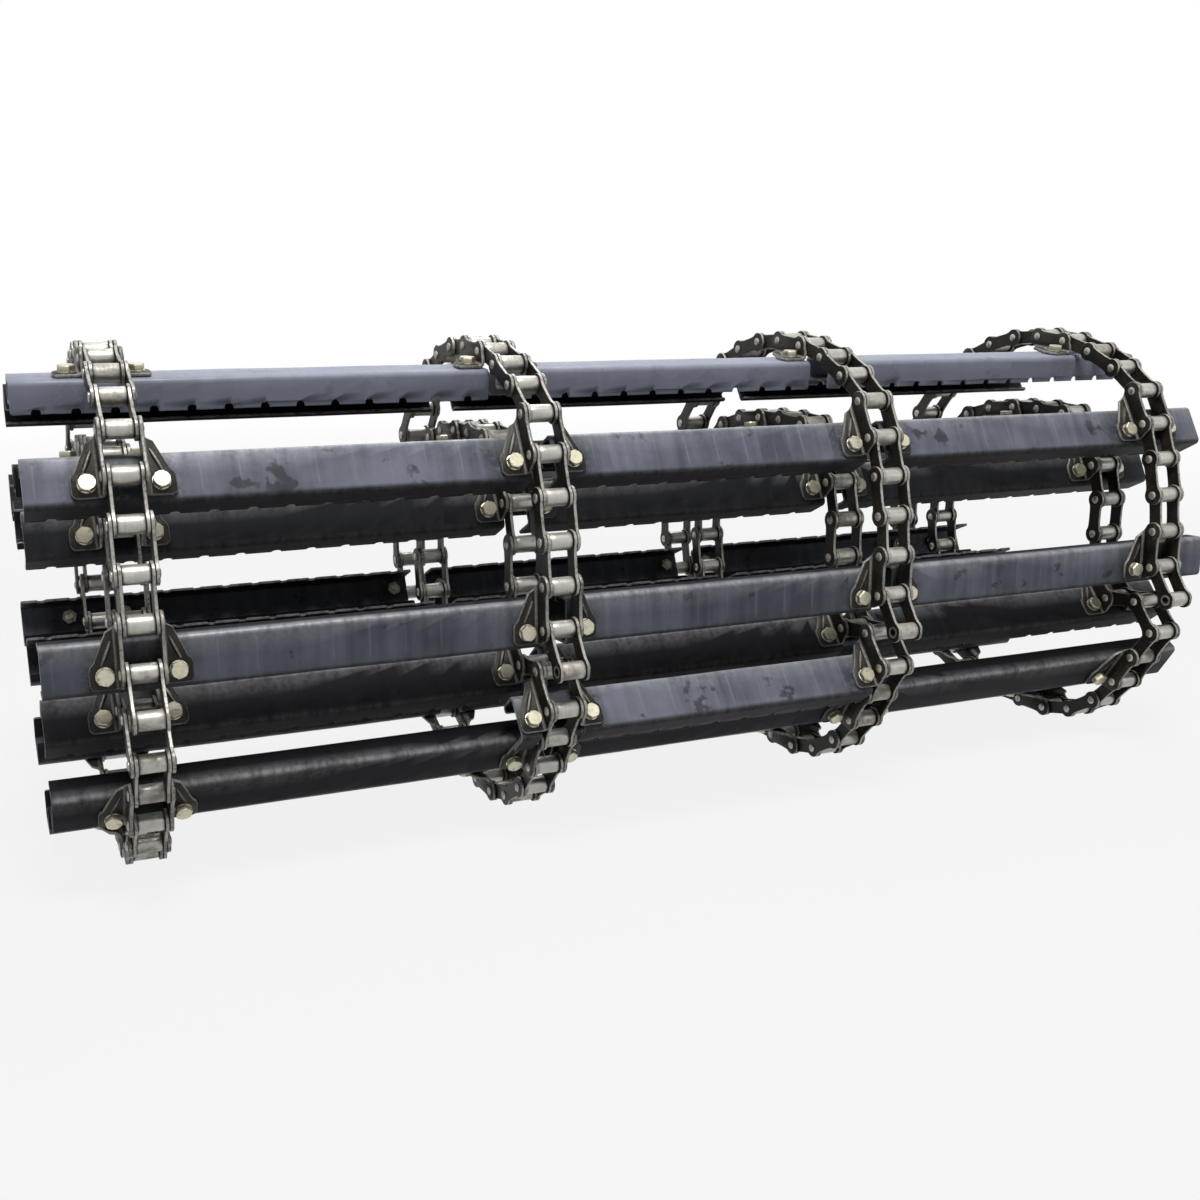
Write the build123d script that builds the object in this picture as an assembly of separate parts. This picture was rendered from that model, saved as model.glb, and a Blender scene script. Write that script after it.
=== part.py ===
from build123d import *
import math
import os

# Conveyor chain of a crop elevator: four strands of roller chain joined by folded
# sheet slats, lying as a loose roll of about two laps with its outer end free.
# X runs along the slats, Y from the front of the roll to its back, Z up. Millimetres.

# ---- chain section -------------------------------------------------------------
PITCH = 38.4
PLATE_THICK = 3.0
PLATE_END_R = 10.0
PLATE_WAIST = 15.0
EYE_CORNER = 26.0
INNER_GAP = 22.0
SIDE_GAP = 0.3
ROLLER_R = 7.94
ROLLER_END_GAP = 0.3
BUSH_R = 5.5
PIN_R = 3.55
PIN_PLAY = 0.05
ROLLER_PLAY = 0.08
TURNED_SIDES = 12
COILED_ROLLER_SIDES = 8

INNER_X = INNER_GAP / 2
OUTER_X = INNER_X + PLATE_THICK + SIDE_GAP
PIN_HALF = OUTER_X + PLATE_THICK

# ---- bent lugs -----------------------------------------------------------------
LUG_THICK = 4.0
LUG_REACH = 40.0
LUG_BACK = 13.0
LUG_TIP = 36.0
LUG_SHOULDER = 4.0
LUG_TIP_X = 20.0

# ---- slats ---------------------------------------------------------------------
SHEET = 3.0
SLAT_WIDTH = 43.0
SLAT_OFFSET = 3.5
BEND_CUT = 2.0
NOTCHED_DEPTH = 28.0
PLAIN_DEPTH = 25.0
RETURN_LIP = 8.0
NOTCH_MOUTH = 8.0
NOTCH_FLOOR = 5.0
NOTCH_DEPTH = 5.0
NOTCH_STEP = 31.5
SLAT_TOP = PLATE_END_R + LUG_THICK

# ---- layout across the chain -----------------------------------------------------
STRAND_STEP = 354.8
STRANDS = [STRAND_STEP * (k - 1.5) for k in range(4)]
SLAT_OVERHANG = 75.0
SLAT_SET_IN = 12.0
BAYS = {
    "left": (STRANDS[0] - SLAT_OVERHANG, STRANDS[1] - SLAT_SET_IN),
    "middle": (STRANDS[1] + SLAT_SET_IN, STRANDS[2] - SLAT_SET_IN),
    "right": (STRANDS[2] + SLAT_SET_IN, STRANDS[3] + SLAT_OVERHANG),
}

# ---- side profile of the roll ------------------------------------------------------
# Stretches of links from the free end inwards: how many, first heading, last heading.
# A heading of 0 points to the back (+Y) and 90 points up; the chain coils clockwise.
STRETCHES = [
    (1, 55, 55),
    (4, 87, 69),
    (2, 60, 36),
    (7, 25, -33),
    (13, -42, -166),
    (3, -180, -180),
    (3, -194, -229),
    (2, -239, -238),
    (1, -310, -310),
    (1, -366, -366),
    (1, -310, -310),
    (2, -275, -272),
    (2, -287, -297),
    (1, -330, -330),
    (3, -357, -366),
    (2, -376, -400),
    (2, -429, -440),
    (4, -452, -477),
    (1, -505, -505),
]
FLAP_LINKS = 7
SLAT_ROWS_EVERY = 4
EXTRA_ROW = 35
NECK_HALF = 21.5
NECK_EDGE = 7.5


def headings():
    angles = []
    for count, first, last in STRETCHES:
        for k in range(count):
            part = k / (count - 1) if count > 1 else 0
            angles.append(first + (last - first) * part)
    return angles


HEADINGS = headings()
LINKS = len(HEADINGS)


def joints():
    """Joint centres in the side view, with the roll standing centred on the ground."""
    y, z = 0.0, 0.0
    points = [(y, z)]
    for heading in HEADINGS:
        y += PITCH * math.cos(math.radians(heading))
        z += PITCH * math.sin(math.radians(heading))
        points.append((y, z))
    middle = (min(p[0] for p in points) + max(p[0] for p in points)) / 2
    ground = min(p[1] for p in points) - PLATE_END_R
    return [(p[0] - middle, p[1] - ground) for p in points]


JOINTS = joints()


def link_place(link, strand_x=0.0):
    """Frame of a link: X across, Y along it from its first joint, Z out of the roll."""
    angle = math.radians(HEADINGS[link])
    y, z = JOINTS[link]
    outward = (0, -math.sin(angle), math.cos(angle))
    return Plane(origin=(strand_x, y, z), x_dir=(1, 0, 0), z_dir=outward).location


def is_inner(link):
    return link % 2 == 0


def is_slat_row(link):
    return link % SLAT_ROWS_EVERY == 1


def save(name, solids):
    export_step(Compound(children=solids), f"parts/{name}.step")


# ---- pieces of the chain -----------------------------------------------------------
def plate_outline(waist=PLATE_WAIST):
    """Outline of a side plate, with few corners, all on the edge of its round eyes."""
    shoulder = PLATE_END_R * math.sin(math.radians(EYE_CORNER))
    reach = PLATE_END_R * math.cos(math.radians(EYE_CORNER))
    near = [(0, -PLATE_END_R), (-reach, -shoulder), (-reach, shoulder), (0, PLATE_END_R)]
    if waist:
        near.append((PITCH / 2, waist / 2))
    far = [(PITCH - y, -z) for y, z in near]
    return make_face(Polyline(*near, *far, close=True))


def side_plate(start_x, waist=PLATE_WAIST):
    return Pos(start_x, 0, 0) * extrude(Plane.YZ * plate_outline(waist), PLATE_THICK)


def coiled_plate(start_x):
    """Plate of the coiled part, with straight sides."""
    return side_plate(start_x, waist=0).solid()


def bar(radius, half_length, joint_y=0.0):
    """Turned bar across the chain, its corners on the radius."""
    outline = Pos(joint_y, 0) * RegularPolygon(radius, TURNED_SIDES)
    return Pos(-half_length, 0, 0) * extrude(Plane.YZ * outline, 2 * half_length)


def bore(radius, half_length, joint_y=0.0):
    """Cutter of a running bore."""
    outline = Pos(joint_y, 0) * Circle(radius)
    return Pos(-half_length, 0, 0) * extrude(Plane.YZ * outline, 2 * half_length)


def inner_link():
    """Two inner plates joined by the bushes that are pressed into them."""
    half = INNER_X + PLATE_THICK
    plate = side_plate(INNER_X)
    body = plate + mirror(plate, Plane.YZ)
    body += bar(BUSH_R, half) + bar(BUSH_R, half, PITCH)
    body -= bore(PIN_R + PIN_PLAY, half) + bore(PIN_R + PIN_PLAY, half, PITCH)
    return body.solid()


def outer_link(plate, pins=(0.0, PITCH)):
    """Two outer plates joined by the pins that are pressed into them."""
    body = plate + mirror(plate, Plane.YZ)
    for joint_y in pins:
        body += bar(PIN_R, PIN_HALF, joint_y)
    return body.solid()


def roller():
    half = INNER_X - ROLLER_END_GAP
    hollow_r = (BUSH_R + ROLLER_PLAY) / math.cos(math.pi / TURNED_SIDES)
    return (bar(ROLLER_R, half) - bar(hollow_r, half)).solid()


def coiled_roller():
    """Roller of the coiled part, seated between its plates."""
    barrel = RegularPolygon(ROLLER_R, COILED_ROLLER_SIDES)
    return Pos(-INNER_X, 0, 0) * extrude(Plane.YZ * barrel, INNER_GAP).solid()


# ---- lugs and slats ----------------------------------------------------------------
def lug_foot():
    """Triangular foot beside the chain, widest at the link's first joint."""
    outline = Polyline(
        (OUTER_X, -LUG_BACK),
        (LUG_REACH, -LUG_BACK),
        (LUG_REACH, LUG_SHOULDER),
        (LUG_TIP_X, LUG_TIP),
        (OUTER_X, LUG_TIP),
        close=True,
    )
    return Pos(0, 0, -SLAT_TOP) * extrude(make_face(outline), LUG_THICK)


def lug_web():
    """Part of the plate that runs down from its edge to the foot."""
    width = LUG_TIP + LUG_BACK
    depth = SLAT_TOP
    middle_y = (LUG_TIP - LUG_BACK) / 2
    chamfered = Pos(middle_y, -depth / 2) * Rectangle(width, depth)
    eye_cut = Pos(-LUG_BACK, 0) * Rectangle(2 * (LUG_BACK - PLATE_END_R), 2 * PLATE_END_R)
    return Pos(OUTER_X, 0, 0) * extrude(Plane.YZ * (chamfered - eye_cut), PLATE_THICK)


def with_lug(plate):
    """Outer plate on the +X side with its bent lug."""
    return plate + lug_web() + lug_foot()


def slat_section():
    """Folded section: web against the lugs, notched flange and flange with a lip."""
    low = SLAT_OFFSET - SLAT_WIDTH / 2
    high = SLAT_OFFSET + SLAT_WIDTH / 2
    top = -SLAT_TOP
    outer = Pos(SLAT_OFFSET, top - PLAIN_DEPTH / 2) * Rectangle(SLAT_WIDTH, PLAIN_DEPTH)
    outer = chamfer(outer.vertices().group_by(Axis.Y)[-1], BEND_CUT)
    hollow_width = SLAT_WIDTH - 2 * SHEET
    hollow = Pos(SLAT_OFFSET, top - SHEET - PLAIN_DEPTH / 2) * Rectangle(hollow_width, PLAIN_DEPTH)
    lip = Pos(high - RETURN_LIP / 2, top - PLAIN_DEPTH + SHEET / 2) * Rectangle(RETURN_LIP, SHEET)
    edge = Pos(low + SHEET / 2, top - NOTCHED_DEPTH + NOTCHED_DEPTH / 4)
    return outer - hollow + lip + edge * Rectangle(SHEET, NOTCHED_DEPTH / 2)


def slat(bay):
    start, end = BAYS[bay]
    section = Plane.YZ * slat_section()
    return Pos(start, 0, 0) * extrude(section, end - start).solid()


def notched_slat(bay):
    """Slat with the row of notches along its free edge."""
    start, end = BAYS[bay]
    count = int((end - start) / NOTCH_STEP)
    first = (start + end - (count - 1) * NOTCH_STEP) / 2
    edge = -SLAT_TOP - NOTCHED_DEPTH
    notch = make_face(
        Polyline(
            (-NOTCH_MOUTH / 2, 0),
            (-NOTCH_FLOOR / 2, NOTCH_DEPTH),
            (NOTCH_FLOOR / 2, NOTCH_DEPTH),
            (NOTCH_MOUTH / 2, 0),
            close=True,
        )
    )
    side = SLAT_OFFSET - SLAT_WIDTH / 2
    cutter = extrude(Plane.XZ * notch, -SHEET)
    body = slat(bay)
    for k in range(count):
        body -= Pos(first + k * NOTCH_STEP, side, edge) * cutter
    return body.solid()


def necked_slat():
    """Middle slat of the extra row: it reaches past strand 2, necked where chains cross."""
    start = STRANDS[1] - LUG_REACH
    end = BAYS["middle"][1]
    body = Pos(start, 0, 0) * extrude(Plane.YZ * slat_section(), end - start)
    for x in STRANDS[1:3]:
        body -= Pos(x, NECK_EDGE - PITCH, -SLAT_TOP) * Box(2 * NECK_HALF, 2 * PITCH, 2 * PITCH)
    return body.solid()


# ---- placing ------------------------------------------------------------------------
def both_sides(piece):
    return [piece, mirror(piece, Plane.YZ).solid()]


def on_strands(pieces, link, strands=STRANDS):
    return [p.moved(link_place(link, x)) for x in strands for p in pieces]


def at_joint(piece, joint, strands=STRANDS):
    y, z = JOINTS[joint]
    return [piece.moved(Location((x, y, z))) for x in strands]


def build_flap():
    lugged = outer_link(with_lug(side_plate(OUTER_X)))
    slats = {bay: notched_slat(bay) for bay in BAYS}
    for joint in range(FLAP_LINKS + 1):
        save(f"flap_rollers_{joint}", at_joint(roller(), joint))
    for link in range(FLAP_LINKS):
        number = link + 1
        if is_inner(link):
            save(f"flap_inner_links_{number}", on_strands([inner_link()], link))
        elif is_slat_row(link):
            save(f"flap_lug_links_{number}", on_strands([lugged], link))
            for bay, body in slats.items():
                save(f"flap_slat_{bay}_{number}", [body.moved(link_place(link))])
        else:
            save(f"flap_outer_links_{number}", on_strands([outer_link(side_plate(OUTER_X))], link))


def lugs_of_strand(number, link, lugs):
    """Both lugs on a slat row; the extra row has none at the outer strands."""
    if link != EXTRA_ROW:
        return lugs
    return {2: lugs, 3: lugs[1:]}.get(number, [])


def build_strand(number, strand_x):
    inner = both_sides(coiled_plate(INNER_X))
    outer = both_sides(coiled_plate(OUTER_X))
    lugs = both_sides(with_lug(coiled_plate(OUTER_X)).solid())
    here = [strand_x]
    inner_plates = []
    outer_plates = []
    lug_plates = []
    for link in range(FLAP_LINKS + 1, LINKS):
        if is_inner(link):
            inner_plates += on_strands(inner, link, here)
            continue
        carried = []
        if is_slat_row(link) or link == EXTRA_ROW:
            carried = lugs_of_strand(number, link, lugs)
        lug_plates += on_strands(carried, link, here)
        plain = outer[: len(outer) - len(carried)]
        outer_plates += on_strands(plain, link, here)
    rollers = []
    for joint in range(FLAP_LINKS + 1, LINKS + 1):
        rollers += at_joint(coiled_roller(), joint, here)
    save(f"roll_inner_plates_{number}", inner_plates)
    save(f"roll_outer_plates_{number}", outer_plates)
    save(f"roll_lug_plates_{number}", lug_plates)
    save(f"roll_rollers_{number}", rollers)


def build_slats():
    rows = [link for link in range(FLAP_LINKS, LINKS) if is_slat_row(link)]
    for bay in BAYS:
        body = slat(bay)
        placed = [body.moved(link_place(link)) for link in rows]
        if bay == "middle":
            placed.append(necked_slat().moved(link_place(EXTRA_ROW)))
        save(f"roll_slats_{bay}", placed)


os.makedirs("parts", exist_ok=True)
build_flap()
carrier = outer_link(side_plate(OUTER_X), pins=(0.0,))
save("roll_carrier_links", on_strands([carrier], FLAP_LINKS))
for number, strand_x in enumerate(STRANDS, start=1):
    build_strand(number, strand_x)
build_slats()
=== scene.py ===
"""Looks of a slatted conveyor chain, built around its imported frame."""

import math

import bmesh
import bpy
import numpy as np
from mathutils import Matrix, Vector, noise


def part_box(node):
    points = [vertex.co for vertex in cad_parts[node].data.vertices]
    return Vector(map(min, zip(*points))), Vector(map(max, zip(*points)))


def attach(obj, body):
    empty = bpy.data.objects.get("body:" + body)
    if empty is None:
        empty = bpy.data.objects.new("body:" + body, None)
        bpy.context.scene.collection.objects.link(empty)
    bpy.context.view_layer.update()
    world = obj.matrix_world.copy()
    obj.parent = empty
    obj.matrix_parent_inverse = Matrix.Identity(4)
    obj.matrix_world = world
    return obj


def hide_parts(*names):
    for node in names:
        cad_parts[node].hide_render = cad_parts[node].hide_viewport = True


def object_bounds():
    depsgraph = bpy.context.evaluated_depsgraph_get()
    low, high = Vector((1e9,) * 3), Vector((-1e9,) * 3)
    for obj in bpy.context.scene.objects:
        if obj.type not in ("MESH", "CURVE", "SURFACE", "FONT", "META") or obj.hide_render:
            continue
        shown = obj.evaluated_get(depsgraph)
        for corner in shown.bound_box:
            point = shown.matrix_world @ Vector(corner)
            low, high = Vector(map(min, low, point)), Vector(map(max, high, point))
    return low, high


bl_info = {
    "name": "Slatted conveyor chain",
    "version": (1, 0, 0),
    "blender": (4, 5, 0),
    "location": "View3D > Sidebar > Chain",
    "description": "Dresses a coiled roller chain with folded slats, lugs and bolts",
    "category": "Object",
}

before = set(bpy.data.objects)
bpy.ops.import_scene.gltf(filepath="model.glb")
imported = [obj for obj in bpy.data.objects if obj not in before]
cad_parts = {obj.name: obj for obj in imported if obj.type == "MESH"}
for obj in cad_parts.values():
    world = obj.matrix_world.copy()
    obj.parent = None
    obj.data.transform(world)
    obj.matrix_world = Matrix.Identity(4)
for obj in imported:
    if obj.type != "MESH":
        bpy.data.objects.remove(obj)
CAD_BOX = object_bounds()

MM = 0.001

# Stretches of links from the free end inwards: how many, first heading, last heading.
# A heading of 0 points to the back (+Y) and 90 points up; the chain coils clockwise.
STRETCHES = [
    (1, 55, 55),
    (4, 87, 69),
    (2, 60, 36),
    (7, 25, -33),
    (13, -42, -166),
    (3, -180, -180),
    (3, -194, -229),
    (2, -239, -238),
    (1, -310, -310),
    (1, -366, -366),
    (1, -310, -310),
    (2, -275, -272),
    (2, -287, -297),
    (1, -330, -330),
    (3, -357, -366),
    (2, -376, -400),
    (2, -429, -440),
    (4, -452, -477),
    (1, -505, -505),
]
PITCH = 38.4 * MM
# Links are counted from the free end: the first FLAP_LINKS move and the rest are coiled.
FLAP_LINKS = 7
FREE_INNER_LINKS = (0, 2, 4, 6)
FREE_OUTER_LINK = 3
FREE_LUG_LINKS = (1, 5)
SLAT_ROWS_EVERY = 4
EXTRA_ROW = 35
# Coiled slats before TOP_ROWS_END get painted light; from INNER_LAP on, all but the extra one get painted
# shade.
TOP_ROWS_END = 12
INNER_LAP = 33
BAYS = ("left", "middle", "right")
SLAT_OVERHANG = 75 * MM
SLAT_SET_IN = 12 * MM
SLAT_TOP = 14 * MM
SLAT_BEND = 3.5 * MM
LIP_BEND = 2.5 * MM
# Tones of the free-end slats and of the extra row: a tone under 0.6 adds painted shade.
FREE_PAINTED_LIGHT_TONES = (0.48, 0.7)
EXTRA_PAINTED_LIGHT_TONE = 0.7


# ---- what a user may change -----------------------------------------------------------
def length(name, value, description):
    """A length property in metres."""
    return bpy.props.FloatProperty(
        name=name, description=description, default=value, unit="LENGTH", subtype="DISTANCE"
    )


def colour(name, value, description):
    """A colour property without alpha."""
    return bpy.props.FloatVectorProperty(
        name=name, description=description, default=value, size=3, subtype="COLOR", min=0, max=1
    )


def share(name, value, description):
    """A property from 0 to 1."""
    return bpy.props.FloatProperty(
        name=name, description=description, default=value, min=0, max=1, subtype="FACTOR"
    )


def angle(name, degrees, description):
    """An angle property, given in degrees."""
    return bpy.props.FloatProperty(
        name=name, description=description, default=math.radians(degrees), unit="ROTATION", subtype="ANGLE"
    )


class ChainSizes(bpy.types.PropertyGroup):
    """Sizes of the links, pins and rollers."""

    pitch: length("Pitch", PITCH, "Distance from joint to joint")
    strand_step: length("Strand spacing", 354.8 * MM, "Distance from strand to strand")
    plate_thick: length("Plate thickness", 3.0 * MM, "Thickness of the link plates")
    eye_radius: length("Plate end radius", 9.9 * MM, "Radius of a plate's round ends")
    waist: length("Plate waist", 14.0 * MM, "Height of a plate halfway along")
    inner_x: length("Inner plate", 11.0 * MM, "Inner face of the inner plates")
    outer_x: length("Outer plate", 14.3 * MM, "Inner face of the outer plates")
    roller_radius: length("Roller radius", 7.9 * MM, "Outer radius of the rollers")
    bush_radius: length("Bush radius", 5.5 * MM, "Outer radius of the bushes")
    pin_radius: length("Pin radius", 3.5 * MM, "Radius of the pins")


class LugSizes(bpy.types.PropertyGroup):
    """Sizes of the bent lugs and their bolts."""

    reach: length("Reach", 40.0 * MM, "Distance from the strand's middle to the lug's edge")
    back: length("Back", 13.0 * MM, "How far the lug goes past the first joint")
    tip: length("Tip", 36.0 * MM, "Where the lug ends along the link")
    shoulder: length("Shoulder", 4.0 * MM, "Where the slanted edge starts")
    bolt_x: length("Bolt from middle", 28.0 * MM, "Distance of the bolts from the strand")
    bolt_y: length("Bolt along link", -2.0 * MM, "Place of the bolts along the link")
    head_across: length("Head across flats", 13.0 * MM, "Width of the bolt heads")


class SlatSizes(bpy.types.PropertyGroup):
    """Sizes of the folded slats."""

    sheet: length("Sheet", 3.0 * MM, "Thickness of the sheet")
    width: length("Width", 43.0 * MM, "Width of the web")
    offset: length("Offset", 3.5 * MM, "Middle of the web along its link")
    depth: length("Depth", 28.0 * MM, "Depth of the notched flange")
    plain_depth: length("Plain depth", 25.0 * MM, "Depth of the other flange")
    lip: length("Lip", 8.0 * MM, "Width of the return lip")
    notch_step: length("Notch spacing", 31.5 * MM, "Distance from notch to notch")
    notch_radius: length("Notch radius", 4.0 * MM, "Radius of the notches")
    notch_depth: length("Notch depth", 5.0 * MM, "Depth of the notches")


class Finishes(bpy.types.PropertyGroup):
    """Colours and wear of the finishes."""

    paint: colour("Slat paint", (0.130, 0.141, 0.180), "Dark blue-grey paint of the slats")
    dust: colour("Dust", (0.26, 0.225, 0.165), "Dry dust on the upper faces")
    black_steel: colour("Oiled steel", (0.011, 0.0100, 0.0085), "Dark oiled steel of the plates")
    bright_steel: colour("Bright steel", (0.56, 0.545, 0.50), "Worn steel of the rollers")
    zinc: colour("Zinc", (0.74, 0.70, 0.54), "Yellow zinc of the bolts")
    wear: share("Wear", 0.75, "How far edges are worn to bare metal")


class StageLook(bpy.types.PropertyGroup):
    """Camera and floor of the stage."""

    camera_place: bpy.props.FloatVectorProperty(
        name="Camera",
        description="Place of the camera",
        default=(-0.6408, -1.1872, 0.4885),
        size=3,
        unit="LENGTH",
        subtype="TRANSLATION",
    )
    pitch_down: angle("Down", 14.59, "How far the camera looks down")
    turn: angle("Turn", 22.16, "How far the camera is turned to the right")
    floor: colour("Floor", (0.34, 0.34, 0.34), "Pale floor")


# ---- where the links lie -----------------------------------------------------------------
def link_headings():
    """Heading of every link, in degrees."""
    angles = []
    for count, first, last in STRETCHES:
        for k in range(count):
            part = k / (count - 1) if count > 1 else 0
            angles.append(first + (last - first) * part)
    return angles


def joint_places(pitch):
    """Joint centres in the side view, set on the frame's own first roller."""
    low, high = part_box("flap_rollers_0")
    y, z = (low.y + high.y) / 2, (low.z + high.z) / 2
    places = [(y, z)]
    for heading in HEADINGS:
        y += pitch * math.cos(math.radians(heading))
        z += pitch * math.sin(math.radians(heading))
        places.append((y, z))
    return places


HEADINGS = link_headings()
LINKS = len(HEADINGS)
JOINTS = joint_places(PITCH)


def link_matrix(link, strand_x=0.0):
    """Frame of a link: X across, Y along it from its first joint, Z out of the roll."""
    y, z = JOINTS[link]
    turn = Matrix.Rotation(math.radians(HEADINGS[link]), 4, "X")
    return Matrix.Translation((strand_x, y, z)) @ turn


def strands(step):
    """Number and middle along X of each strand."""
    return [(number, step * (number - 2.5)) for number in range(1, 5)]


def laid(links, numbered, shapes_at):
    """Shapes on links: numbered holds (strand number, x), and shapes_at gives one place's shapes."""
    return [
        shape.moved(link_matrix(link, x))
        for link in links
        for number, x in numbered
        for shape in shapes_at(link, number)
    ]


def is_inner(link):
    """Whether a link has its plates inside its neighbours'."""
    return link % 2 == 0


def is_slat_row(link):
    """Whether a link carries slats in every bay."""
    return link % SLAT_ROWS_EVERY == 1


# ---- shapes ------------------------------------------------------------------------------
class Shape:
    """A mesh kept as arrays, with the wear of each point and its place on the flat blank."""

    def __init__(self, mesh, worn=None):
        count = len(mesh.vertices)
        self.points = np.zeros(count * 3)
        mesh.vertices.foreach_get("co", self.points)
        self.points = self.points.reshape(-1, 3)
        self.corners = np.zeros(len(mesh.loops), int)
        mesh.loops.foreach_get("vertex_index", self.corners)
        self.sides = np.zeros(len(mesh.polygons), int)
        mesh.polygons.foreach_get("loop_total", self.sides)
        self.worn = np.zeros(count) if worn is None else np.asarray(worn, float)
        self.blank = self.points.copy()
        bpy.data.meshes.remove(mesh)

    def moved(self, matrix):
        """A copy of the shape under a matrix; a mirrored copy keeps its faces outwards."""
        other = object.__new__(Shape)
        turn = np.array(matrix.to_3x3())
        other.points = self.points @ turn.T + np.array(matrix.translation)
        other.worn, other.blank = self.worn, self.blank
        other.corners, other.sides = self.corners, self.sides
        if np.linalg.det(turn) < 0:
            other.corners, other.sides = self.corners[::-1], self.sides[::-1]
        return other


def joined(name, shapes, material, body, nodes, smooth_angle=38, tones=None):
    """One object from many shapes, riding a body in place of its CAD nodes."""
    mesh = bpy.data.meshes.new(name)
    starts = np.cumsum([0] + [len(s.points) for s in shapes])
    points = np.concatenate([s.points for s in shapes])
    points = np.clip(points, CAD_BOX[0], CAD_BOX[1])
    corners = np.concatenate([s.corners + start for s, start in zip(shapes, starts)])
    sides = np.concatenate([s.sides for s in shapes])
    mesh.vertices.add(len(points))
    mesh.vertices.foreach_set("co", points.ravel())
    mesh.loops.add(len(corners))
    mesh.loops.foreach_set("vertex_index", corners)
    mesh.polygons.add(len(sides))
    mesh.polygons.foreach_set("loop_start", np.cumsum(np.append(0, sides[:-1])))
    mesh.update(calc_edges=True)
    worn = mesh.attributes.new("worn", "FLOAT", "POINT")
    worn.data.foreach_set("value", np.concatenate([s.worn for s in shapes]))
    blank = mesh.attributes.new("blank", "FLOAT_VECTOR", "POINT")
    blank.data.foreach_set("vector", np.concatenate([s.blank for s in shapes]).ravel())
    tones = tones or [noise.random() for _ in shapes]
    tone = mesh.attributes.new("tone", "FLOAT", "POINT")
    tone.data.foreach_set("value", np.repeat(tones, [len(s.points) for s in shapes]))
    mesh.shade_smooth()
    mesh.set_sharp_from_angle(angle=math.radians(smooth_angle))
    mesh.materials.append(material)
    thing = bpy.data.objects.new(name, mesh)
    bpy.context.scene.collection.objects.link(thing)
    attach(thing, body)
    if nodes:
        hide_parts(*nodes)
    return thing


def shape_of(work, worn):
    """Shape from finished mesh work."""
    mesh = bpy.data.meshes.new("piece")
    work.to_mesh(mesh)
    work.free()
    return Shape(mesh, worn)


def slab(outline, thickness, edge, holes=()):
    """Plate cut to an outline, with eased edges that count as worn; its middle lies at z = 0."""
    curve = bpy.data.curves.new("slab", "CURVE")
    curve.dimensions = "2D"
    curve.fill_mode = "BOTH"
    for ring in (outline, *holes):
        line = curve.splines.new("POLY")
        line.points.add(len(ring) - 1)
        for point, (x, y) in zip(line.points, ring):
            point.co = (x, y, 0, 1)
        line.use_cyclic_u = True
    curve.extrude = thickness / 2 - edge
    curve.bevel_depth = edge
    curve.bevel_resolution = 0
    curve.offset = -edge
    holder = bpy.data.objects.new("slab", curve)
    mesh = bpy.data.meshes.new_from_object(holder)
    bpy.data.objects.remove(holder)
    bpy.data.curves.remove(curve)
    work = bmesh.new()
    work.from_mesh(mesh)
    bmesh.ops.remove_doubles(work, verts=work.verts, dist=edge / 20)
    bmesh.ops.recalc_face_normals(work, faces=work.faces)
    work.to_mesh(mesh)
    work.free()
    return mesh


def worn_rim(mesh, thickness, edge):
    """Wear of a slab: full on its rim and none on its faces."""
    return [1.0 if abs(v.co.z) < thickness / 2 - edge / 2 else 0.0 for v in mesh.vertices]


def arc(centre, radius, start, end, steps):
    """Points on an arc, angles in degrees."""
    turns = [math.radians(start + (end - start) * k / steps) for k in range(steps + 1)]
    return [(centre[0] + radius * math.cos(t), centre[1] + radius * math.sin(t)) for t in turns]


def lathe(profile, segments):
    """Turned piece about X from rings of (x, radius, wear); a radius of 0 closes it."""
    work = bmesh.new()
    rings, worn = [], []
    for x, radius, wear in profile:
        count = segments if radius > 0 else 1
        ring = []
        for k in range(count):
            turn = 2 * math.pi * k / segments
            ring.append(work.verts.new((x, radius * math.cos(turn), radius * math.sin(turn))))
            worn.append(wear)
        rings.append(ring)
    for near, far in zip(rings, rings[1:]):
        for k in range(segments):
            after = (k + 1) % segments
            corners = [near[k % len(near)], near[after % len(near)]]
            corners += [far[after % len(far)], far[k % len(far)]]
            unique = list(dict.fromkeys(corners))
            if len(unique) > 2:
                work.faces.new(unique)
    bmesh.ops.recalc_face_normals(work, faces=work.faces)
    return shape_of(work, worn)


def leftwards(heading):
    """Direction to the left of a heading."""
    return np.array([-math.sin(heading), math.cos(heading)])


def ahead(place, heading, run_length, turn):
    """Place and heading at the end of a straight or a bend."""
    if not turn:
        return place + np.array([math.cos(heading), math.sin(heading)]) * run_length, heading
    radius = run_length / turn
    centre = place + leftwards(heading) * radius
    return centre - leftwards(heading + turn) * radius, heading + turn


def fold(shape, runs, start, heading):
    """Folds a flat blank along its y: runs are (length, turn in radians) of straights and bends."""
    lines = []
    place, place_y = np.array(start, float), 0.0
    for run_length, turn in runs:
        lines.append((place_y, run_length, place, heading, turn))
        place, heading = ahead(place, heading, run_length, turn)
        place_y += run_length
    for point in shape.points:
        x, y, thick = point
        run = [r for r in lines if y >= r[0] - 1e-9] or lines[:1]
        run_y, run_length, begin, heading, turn = run[-1]
        along = y - run_y
        flat, heading = ahead(begin, heading, along, turn * along / run_length)
        flat = flat + leftwards(heading) * thick
        point[:] = (x, flat[0], flat[1])
    return shape


def scored(mesh, lines_y, lines_x=()):
    """Cuts a flat blank along lines, so that it can fold there."""
    work = bmesh.new()
    work.from_mesh(mesh)
    cuts = [((0, y, 0), (0, 1, 0)) for y in lines_y] + [((x, 0, 0), (1, 0, 0)) for x in lines_x]
    for place, across in cuts:
        everything = work.verts[:] + work.edges[:] + work.faces[:]
        bmesh.ops.bisect_plane(work, geom=everything, dist=1e-7, plane_co=place, plane_no=across)
    work.to_mesh(mesh)
    work.free()
    return mesh


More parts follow.
